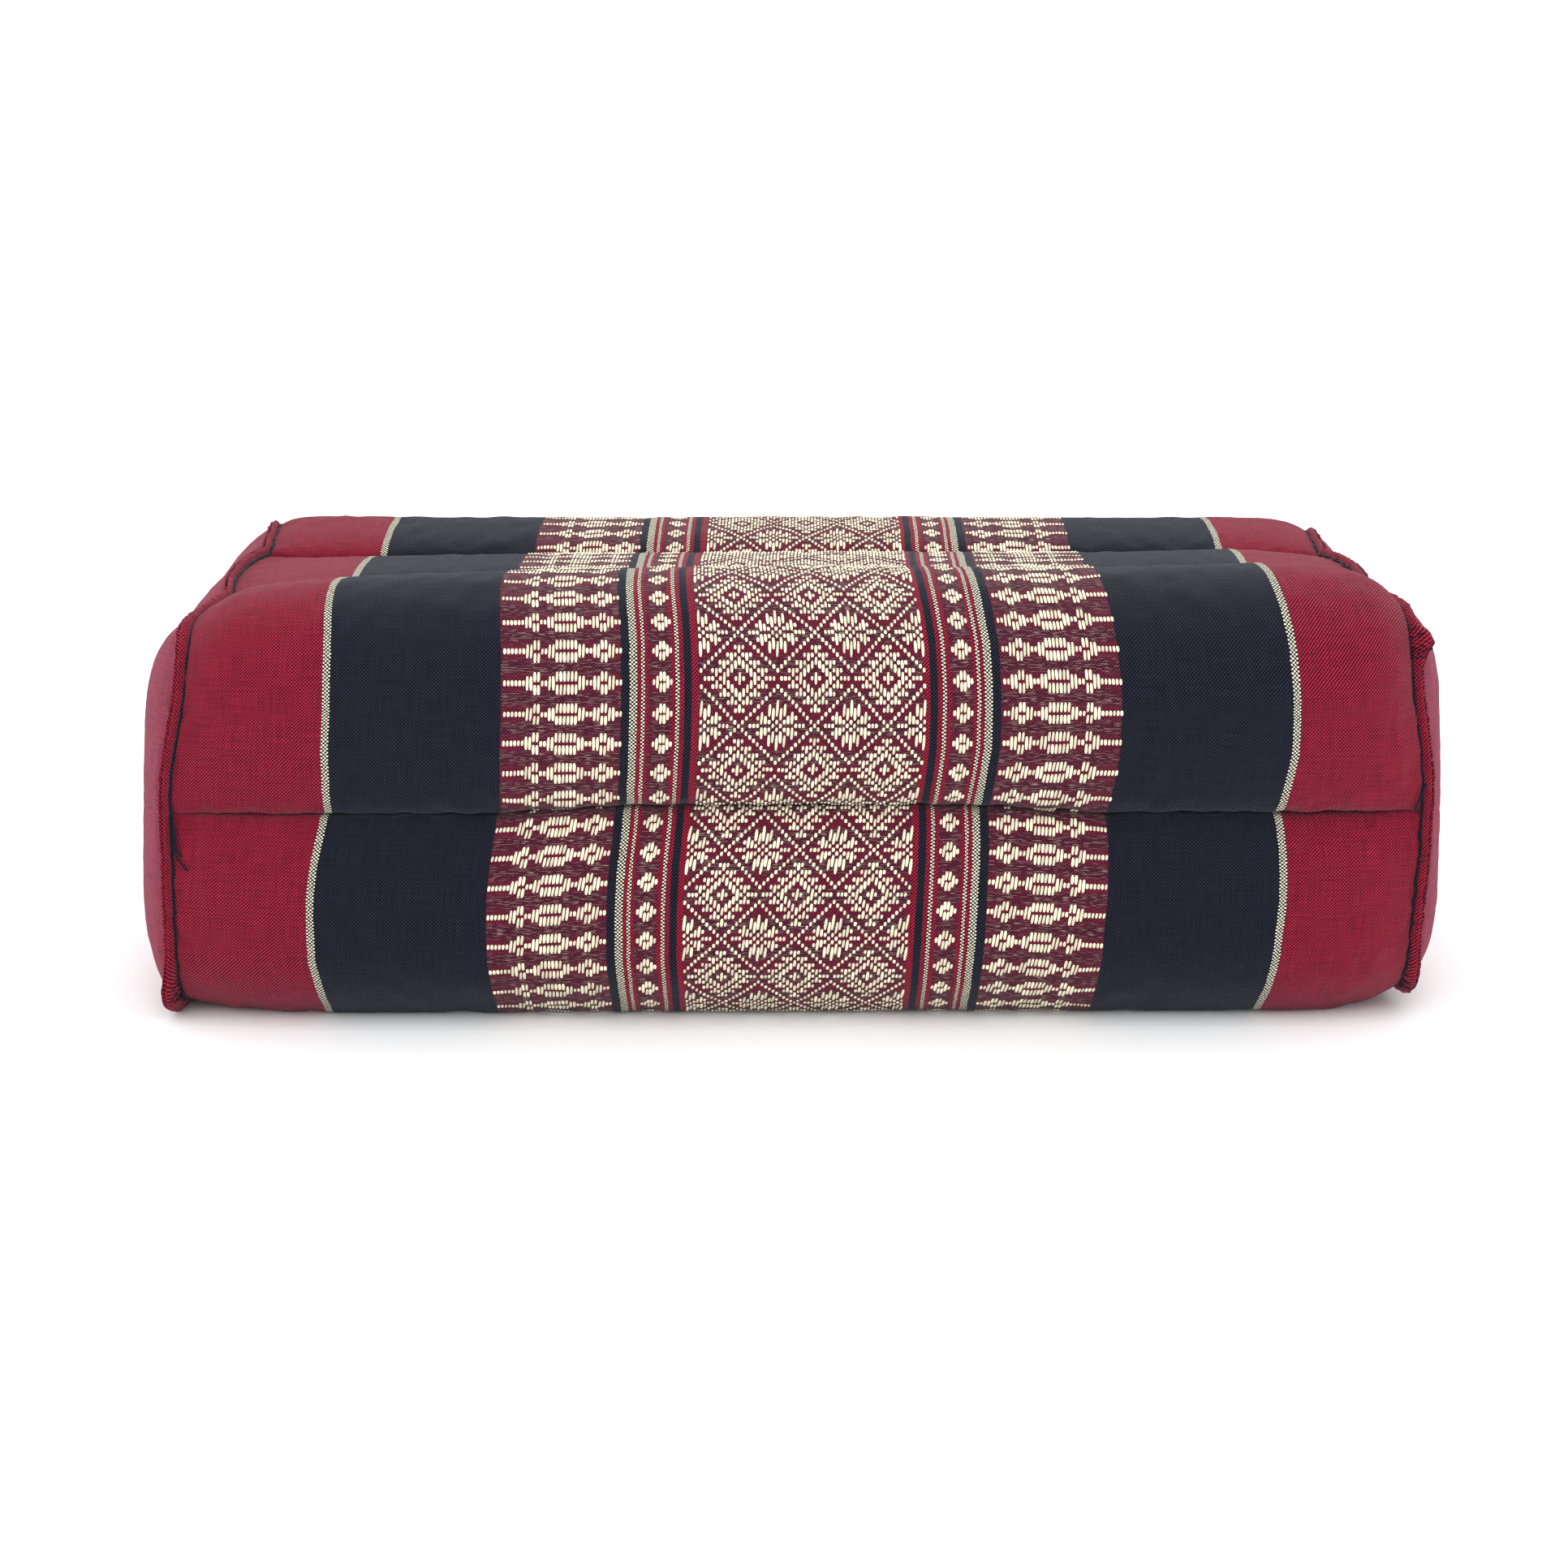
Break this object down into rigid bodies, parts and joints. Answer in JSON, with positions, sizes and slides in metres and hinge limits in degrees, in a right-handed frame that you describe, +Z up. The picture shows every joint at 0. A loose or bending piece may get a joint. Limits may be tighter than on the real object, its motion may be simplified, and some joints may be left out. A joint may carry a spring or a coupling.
{
  "type": "yoga block cushion",
  "caption": "Firm block cushion for floor exercise: sewn rolls run lengthwise, a striped brocade wrap goes round them, and crowned red panels with raised outside seams close the ends.",
  "frame": {"origin": "centre of the bounding box's underside, on the surface that the cushion rests on", "axes": "+X along the length, to the right as seen in the picture; -Y toward the front, which faces the camera; +Z up"},
  "size_m": [0.3844, 0.1816, 0.1253],
  "materials": {
    "wrap_cloth": "woven cotton, red and near-black stripes with cream figured bands",
    "panel_cloth": "plain woven cotton, red shot with black",
    "seam_cloth": "two folded red cotton edges oversewn with near-black thread"
  },
  "bodies": {
    "root": {"cushion_body": "wrap_cloth", "end_panel_left": "panel_cloth", "end_panel_right": "panel_cloth", "end_seam_left": "seam_cloth", "end_seam_right": "seam_cloth"}
  },
  "joints": []
}
